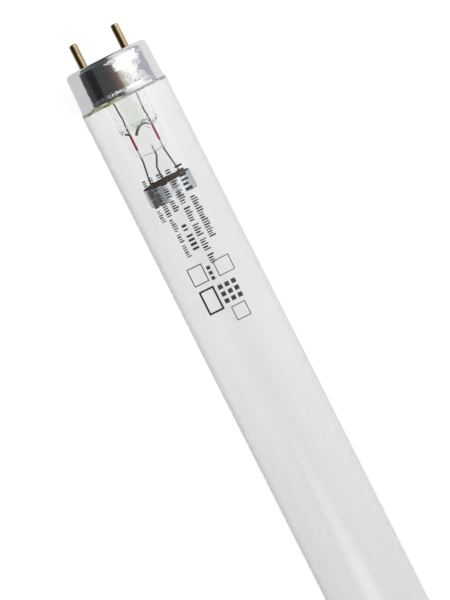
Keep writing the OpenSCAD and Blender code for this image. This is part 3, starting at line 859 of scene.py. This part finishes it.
def cathode_coil(end):
    """The coil's centre line: x = (t - 1/2) length, y and z = radius times the cosine and sine
    of the turns, with straight tails through the hooks; then a round wire. The radius opens and
    closes within three quarters of a turn."""
    steps_a_turn, opening = 40, 0.75
    t = np.linspace(0, 1, COIL["turns"] * steps_a_turn + 1)
    radius = COIL["radius"] * ease(np.minimum(t, 1 - t) * COIL["turns"] / opening)
    swing = TAU * COIL["turns"] * t
    turns = np.stack([(t - 0.5) * COIL["length"], radius * np.cos(swing),
                      radius * np.sin(swing)], axis=-1)
    tail = np.linspace(COIL["tail"] / 2, COIL["length"] / 2, 6)[:-1]
    left = np.stack([-tail, 0 * tail, 0 * tail], axis=-1)
    path = np.vstack([left, turns, -left[::-1]]) + (0, 0, CATHODE_Z)
    points, faces = swept(path, COIL["wire"], sides=10, up=(0.0, 0.31, 0.95))
    piece = make_piece(f"coil_{end}", place(points, end), faces, TUNGSTEN)
    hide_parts(f"cathode_coil_{end}")


# Plain printed marks

# Rows of blocks in place of printed lines: start and stop in depth, place across, height, width
# of a block, seed, and the numbers of the blocks after which a wider gap comes
PRINT_ROWS = [(35.1, 43.5, 4.6, 2.1, 0.75, 3, ()),
              (44.4, 56.8, 4.6, 1.9, 0.38, 5, ()),
              (35.0, 63.2, 1.65, 1.9, 0.40, 8, (8, 14, 20, 25, 30)),
              (35.0, 46.3, -1.1, 1.8, 0.38, 13, (2, 9)),
              (50.4, 58.6, -1.1, 1.8, 0.62, 21, (2,)),
              (35.0, 59.2, -3.65, 1.35, 0.36, 34, (6, 10, 16, 22, 26)),
              (35.0, 47.7, -5.6, 1.25, 0.34, 55, (4, 8, 12))]


def bar(z0, z1, y0, y1):
    """One inked bar as four corners in (depth, across)."""
    return np.array([[z0, y0], [z1, y0], [z1, y1], [z0, y1]])


def box_outline(z0, z1, y0, y1, line):
    """An empty box of four bars, drawn with a line of the given width."""
    return [bar(z0, z1, y0, y0 + line), bar(z0, z1, y1 - line, y1),
            bar(z0, z0 + line, y0 + line, y1 - line), bar(z1 - line, z1, y0 + line, y1 - line)]


def solid_blocks(depths, places, deep, wide):
    """Solid blocks of one size, at each depth and each place across."""
    return [bar(z, z + deep, y, y + wide) for z in depths for y in places]


def block_row(start, stop, across, height, width, seed, gaps):
    """A row of plain solid blocks in groups, in place of a printed line. The width and the
    height of each block follow a fixed seed."""
    rng = np.random.default_rng(seed)
    tall_ones, short_height = 0.4, 0.74
    marks = []
    z = start
    low = across - height / 2
    while z < stop - width / 2:
        wide = min(width * rng.uniform(0.7, 1.3), stop - z)
        high = height * (1.0 if rng.random() < tall_ones else short_height)
        marks.append(bar(z, z + wide, low, low + high))
        z += wide + width * rng.uniform(0.7, 0.95)
        if len(marks) in gaps:
            z += height * 0.45
    return marks


def printed_marks():
    """All marks as flat four-cornered bars in (depth, across), each one split into 6 by 6 cells
    by bilinear mixing of its corners and laid on the glass: across = R sin(angle)."""
    marks = []
    for row in PRINT_ROWS:
        marks += block_row(*row)
    marks += box_outline(61.9, 67.2, -6.2, -1.8, 0.28)
    marks += solid_blocks((63.4, 64.95, 66.5), (-1.05,), 1.0, 1.05)
    marks += box_outline(62.8, 67.4, 1.2, 6.0, 0.24)
    marks += box_outline(68.8, 75.9, -6.0, -1.5, 0.55)
    marks += solid_blocks((69.4, 71.5, 73.6), (-0.6, 1.4, 3.4), 1.3, 1.3)
    marks += box_outline(76.2, 80.4, 0.2, 4.4, 0.24)
    side = 7
    s = np.linspace(0, 1, side)
    u, v = np.meshgrid(s, s, indexing="ij")
    weights = np.stack([(1 - u) * (1 - v), u * (1 - v), u * v, (1 - u) * v], axis=-1)
    flat = np.einsum("abk,mkc->mabc", weights, np.array(marks))
    angle = np.arcsin(flat[..., 1] / TUBE_R)
    points = np.stack([TUBE_R * np.sin(angle), TUBE_R * np.cos(angle), flat[..., 0]], axis=-1)
    faces = grid_faces(side, side) + (np.arange(len(marks)) * side * side)[:, None, None]
    make_piece("printed_marks", place(points, "a"), [faces.reshape(-1, 4)], INK,
               smooth=False)


# The CAD pieces that stay, by how their names start

KEPT = {
    "stem": STEM_GLASS, "exhaust_tube": STEM_GLASS, "insulator_plate": PLATE,
    "contact_pin": BRASS, "outer_lead": LEAD, "inner_lead": NICKEL,
    "shield_support": NICKEL, "mercury_bead": MERCURY,
}


def dress_kept_nodes():
    """Gives each CAD piece that stays its material."""
    for name, node in NODES.items():
        for start, material in KEPT.items():
            if name.startswith(start):
                node.data.materials.clear()
                node.data.materials.append(material)


# Studio, in metres

# The camera: its distance, the height that its picture takes in, its sensor in mm, where it
# looks, how much it leans towards the cap, and the direction of the picture's right
CAMERA_REACH = 2.5
VIEW_HEIGHT = 0.1643
SENSOR = 36.0
LOOK_AT = Vector((-0.5256, -0.0004, 0.0))
LEAN = math.radians(1.3)
PICTURE_RIGHT = Vector((0.4497, 0.8932, 0.0))

# The soft light: its place, the point that it faces, its sides and its power in watts
SOFT_PLACE = Vector((-0.3, 1.8, 1.5))
SOFT_AIM = Vector((-0.4, 0, 0))
SOFT_SIDES = (2.4, 1.6)
SOFT_POWER = 30.0

# The strip light's lamps: how many, length, the first one's width and place, how much wider,
# farther along and higher each next one is, and the power for each metre of width
STRIP = dict(count=7, length=0.8, width=0.14, wider=0.06, power=0.8)
STRIP_PLACE = np.array([-0.078, -0.075, 0.5])
STRIP_STEP = np.array([0.010, 0.0, 0.003])

# The white that is seen, and the soft light that the room gives
WHITE = (1.0, 1.0, 1.0)
ROOM_LIGHT = 0.72

# What mirrors see: bands round the lamp and, for directions that point along it, at the ends
ROOM_BANDS = [(0.0, (0.060, 0.060, 0.062)), (0.10, (0.055, 0.055, 0.057)),
              (0.135, (0.016, 0.018, 0.020)), (0.24, (0.015, 0.017, 0.020)),
              (0.275, (0.060, 0.058, 0.060)), (0.43, (0.068, 0.065, 0.066)),
              (0.48, (0.11, 0.088, 0.080)), (0.55, (0.20, 0.145, 0.125)),
              (0.59, (0.50, 0.45, 0.40)), (0.66, (0.60, 0.57, 0.53)),
              (0.71, (0.47, 0.49, 0.53)), (0.95, (0.43, 0.46, 0.51))]
ROOM_ENDS = [(0.0, (0.45, 0.46, 0.47)), (0.08, (0.10, 0.11, 0.115)), (0.40, (0.07, 0.08, 0.085)),
             (0.52, (0.14, 0.14, 0.14)), (0.60, (0.55, 0.55, 0.55)), (0.75, (0.95, 0.95, 0.95)),
             (0.95, (0.60, 0.61, 0.62))]
ENDS_ALONG = (0.10, 0.42)

# The bright window in the bands: the turn of its middle, half its waist, how fast it widens
# along the lamp and up to where, its soft edge, where it fades, its gap and its light
WINDOW_TURN = 0.775
WINDOW_WAIST = 0.03
WINDOW_WIDENS = 1.76
WINDOW_WIDEST_AT = 0.115
WINDOW_EDGE = (-0.012, 0.018)
WINDOW_FADE = (0.5, 0.2)
WINDOW_GAP = (-0.006, 0.004, 0.072, 0.088)
WINDOW_LIGHT = (1.15, 1.15, 1.15)

# The floor: half its side, its gap to the tube, and its paint and glow, each as seen straight
# and as seen through glass
FLOOR_HALF = 30.0
FLOOR_GAP = 0.00005
FLOOR_PAINT = (0.60, 0.15)
FLOOR_GLOW = (0.63, 1.22)

# The floor's colours in mirrors, and where across it they change
FLOOR_NEAR = (0.80, 0.80, 0.80)
FLOOR_LEFT = (0.64, 0.64, 0.65)
FLOOR_FAR = (0.45, 0.47, 0.51)
FLOOR_DARK = (0.045, 0.05, 0.053)
LEFT_ACROSS = (-0.010, -0.016)
FAR_ACROSS = (0.060, 0.085)

# The dark in line with the tube past its ends: half its width, how fast its left side widens
# and from what width, and how soft it starts and ends
DARK_HALF = 0.0095
DARK_WIDENS = 1.55
DARK_FROM = -0.030
DARK_START = 0.0006
DARK_SOFT = 0.001


def camera():
    """A long lens from straight above, leaning a little towards the caps, and turned so that
    the lamp runs down the picture to the right."""
    data = bpy.data.cameras.new("camera")
    data.sensor_width = SENSOR
    data.lens = SENSOR * CAMERA_REACH / VIEW_HEIGHT
    data.clip_start = 0.05
    data.clip_end = 50.0
    eye = add_object("camera", data)
    back = Vector((-math.sin(LEAN), 0.0, math.cos(LEAN)))
    right = (PICTURE_RIGHT - PICTURE_RIGHT.dot(back) * back).normalized()
    turn = Matrix((right, back.cross(right), back)).transposed().to_4x4()
    eye.matrix_world = Matrix.Translation(LOOK_AT + back * CAMERA_REACH) @ turn
    bpy.context.scene.camera = eye


def area_lamp(name, length, width, power, where):
    """A rectangular lamp, facing down."""
    data = bpy.data.lights.new(name, "AREA")
    data.shape = "RECTANGLE"
    data.size = length
    data.size_y = width
    data.energy = power
    lamp = add_object(name, data)
    lamp.location = where
    return lamp


def soft_lamp():
    """One large soft light above the tube, to its right, that no mirror shows."""
    lamp = area_lamp("soft_lamp", *SOFT_SIDES, SOFT_POWER, SOFT_PLACE)
    lamp.rotation_mode = "QUATERNION"
    lamp.rotation_quaternion = (SOFT_AIM - SOFT_PLACE).to_track_quat("-Z", "Y")
    lamp.visible_glossy = False


def strip_lamps():
    """A strip light along the tube, above it and to the left, that only mirrors show. Its lamps
    hang one over another, each wider than the last and farther from the cap, and give it a soft
    edge."""
    for k in range(STRIP["count"]):
        width = STRIP["width"] + STRIP["wider"] * k
        lamp = area_lamp(f"strip_{k}", STRIP["length"], width, STRIP["power"] * width,
                         STRIP_PLACE + STRIP_STEP * k)
        lamp.visible_camera = False
        lamp.visible_diffuse = False
        lamp.visible_transmission = False


def kinds_of_ray(tree):
    """Three sockets, each 1 for its own rays: seen by the camera, straight or through glass;
    through glass; and by way of a mirror."""
    path = new_node(tree, "LightPath").outputs
    through = path["Is Transmission Ray"]
    seen = calc(tree, "MAXIMUM", path["Is Camera Ray"], through)
    mirrored = times(tree, path["Is Glossy Ray"], path["Is Reflection Ray"])
    return seen, through, mirrored


def mirrored_floor(tree, coords):
    """The floor's colour in mirrors: grey on the left, blue-grey away from the tube on the
    right, and dark in line with the tube past its ends."""
    x, y, _ = split_xyz(tree, coords)
    past = calc(tree, "SUBTRACT", calc(tree, "ABSOLUTE", x), LAMP_LEN / 2 * MM)
    left = calc(tree, "MULTIPLY_ADD", past, DARK_WIDENS, DARK_FROM)
    left = calc(tree, "MAXIMUM", left, DARK_HALF)
    outside = calc(tree, "MAXIMUM", calc(tree, "SUBTRACT", y, DARK_HALF),
                   calc(tree, "SUBTRACT", times(tree, y, -1.0), left))
    dark = times(tree, smooth_between(tree, past, 0.0, DARK_START),
                 smooth_between(tree, outside, DARK_SOFT, -DARK_SOFT))
    colour = mixed(tree, smooth_between(tree, y, *LEFT_ACROSS), FLOOR_NEAR, FLOOR_LEFT)
    colour = mixed(tree, smooth_between(tree, y, *FAR_ACROSS), colour, FLOOR_FAR)
    return mixed(tree, dark, colour, FLOOR_DARK)


def floor():
    """White, with a light of its own where it is seen. Through glass it has more of that light
    and less paint, so that the lamp's shadow is weaker there. Mirrors see its own colours."""
    low = -TUBE_R * MM - FLOOR_GAP
    mesh = bpy.data.meshes.new("floor")
    signs = ((-1, -1), (1, -1), (1, 1), (-1, 1))
    corners = [(x * FLOOR_HALF, y * FLOOR_HALF, low) for x, y in signs]
    mesh.from_pydata(corners, [], [(0, 1, 2, 3)])
    piece = add_object("floor", mesh)
    material, tree, surface, coords = new_material("floor")
    tree.nodes.remove(surface)
    seen, through, mirrored = kinds_of_ray(tree)
    paint = new_node(tree, "BsdfDiffuse", Color=mixed_numbers(tree, through, *FLOOR_PAINT))
    glow = new_node(tree, "Emission", Color=seen,
                    Strength=mixed_numbers(tree, through, *FLOOR_GLOW))
    lit = new_node(tree, "AddShader")
    feed(tree, paint.outputs[0], lit.inputs[0])
    feed(tree, glow.outputs[0], lit.inputs[1])
    image = new_node(tree, "Emission", Color=mirrored_floor(tree, coords))
    both = mixed_shaders(tree, mirrored, lit.outputs[0], image.outputs[0])
    feed(tree, both, tree.nodes["Material Output"].inputs["Surface"])
    mesh.materials.append(material)


def room_window(tree, x, turn):
    """1 in the bright window on the right, which narrows to a waist and stops, and goes on
    farther along the lamp."""
    along = calc(tree, "ABSOLUTE", x)
    half = calc(tree, "MULTIPLY_ADD", calc(tree, "MINIMUM", along, WINDOW_WIDEST_AT),
                WINDOW_WIDENS, WINDOW_WAIST)
    from_middle = calc(tree, "ABSOLUTE", calc(tree, "SUBTRACT", turn, WINDOW_TURN))
    inside = smooth_between(tree, calc(tree, "SUBTRACT", half, from_middle), *WINDOW_EDGE)
    inside = times(tree, inside, smooth_between(tree, along, *WINDOW_FADE))
    gap = within(tree, x, *WINDOW_GAP)
    return times(tree, inside, calc(tree, "SUBTRACT", 1.0, gap))


def background(tree, colour, strength):
    """The world's light, of one colour or of a colour for each direction."""
    return new_node(tree, "Background", Color=colour, Strength=strength).outputs[0]


def world():
    """White where it is seen, soft light for the rest, and for mirrors a room of bands along
    the lamp: by the direction's angle about the lamp, 0 at the left horizon and 1 at the
    right."""
    sky = bpy.data.worlds.new("studio")
    bpy.context.scene.world = sky
    sky.use_nodes = True
    tree = sky.node_tree
    tree.nodes.clear()
    out = new_node(tree, "OutputWorld")
    coords = new_node(tree, "TexCoord")
    x, y, z = split_xyz(tree, coords.outputs["Generated"])
    turn = calc(tree, "MULTIPLY_ADD", calc(tree, "ARCTAN2", y, z), 1 / math.pi, 0.5)
    bands = ramp(tree, turn, ROOM_BANDS)
    bands = mixed(tree, room_window(tree, x, turn), bands, WINDOW_LIGHT)
    along = calc(tree, "ABSOLUTE", x)
    room = mixed(tree, smooth_between(tree, along, *ENDS_ALONG), bands,
                 ramp(tree, turn, ROOM_ENDS))
    seen, _, mirrored = kinds_of_ray(tree)
    unseen = mixed_shaders(tree, mirrored, background(tree, WHITE, ROOM_LIGHT),
                           background(tree, room, 1.0))
    both = mixed_shaders(tree, seen, unseen, background(tree, WHITE, 1.0))
    feed(tree, both, out.inputs["Surface"])


dress_kept_nodes()
glass_tube()
printed_marks()
for end in ENDS:
    cap_shell(end)
    cement_ring(end)
    seal_wires(end)
    vent_lip(end)
    press_creases(end)
    cathode_shield(end)
    cathode_coil(end)
camera()
soft_lamp()
strip_lamps()
floor()
world()
bpy.context.scene.view_settings.view_transform = "Standard"
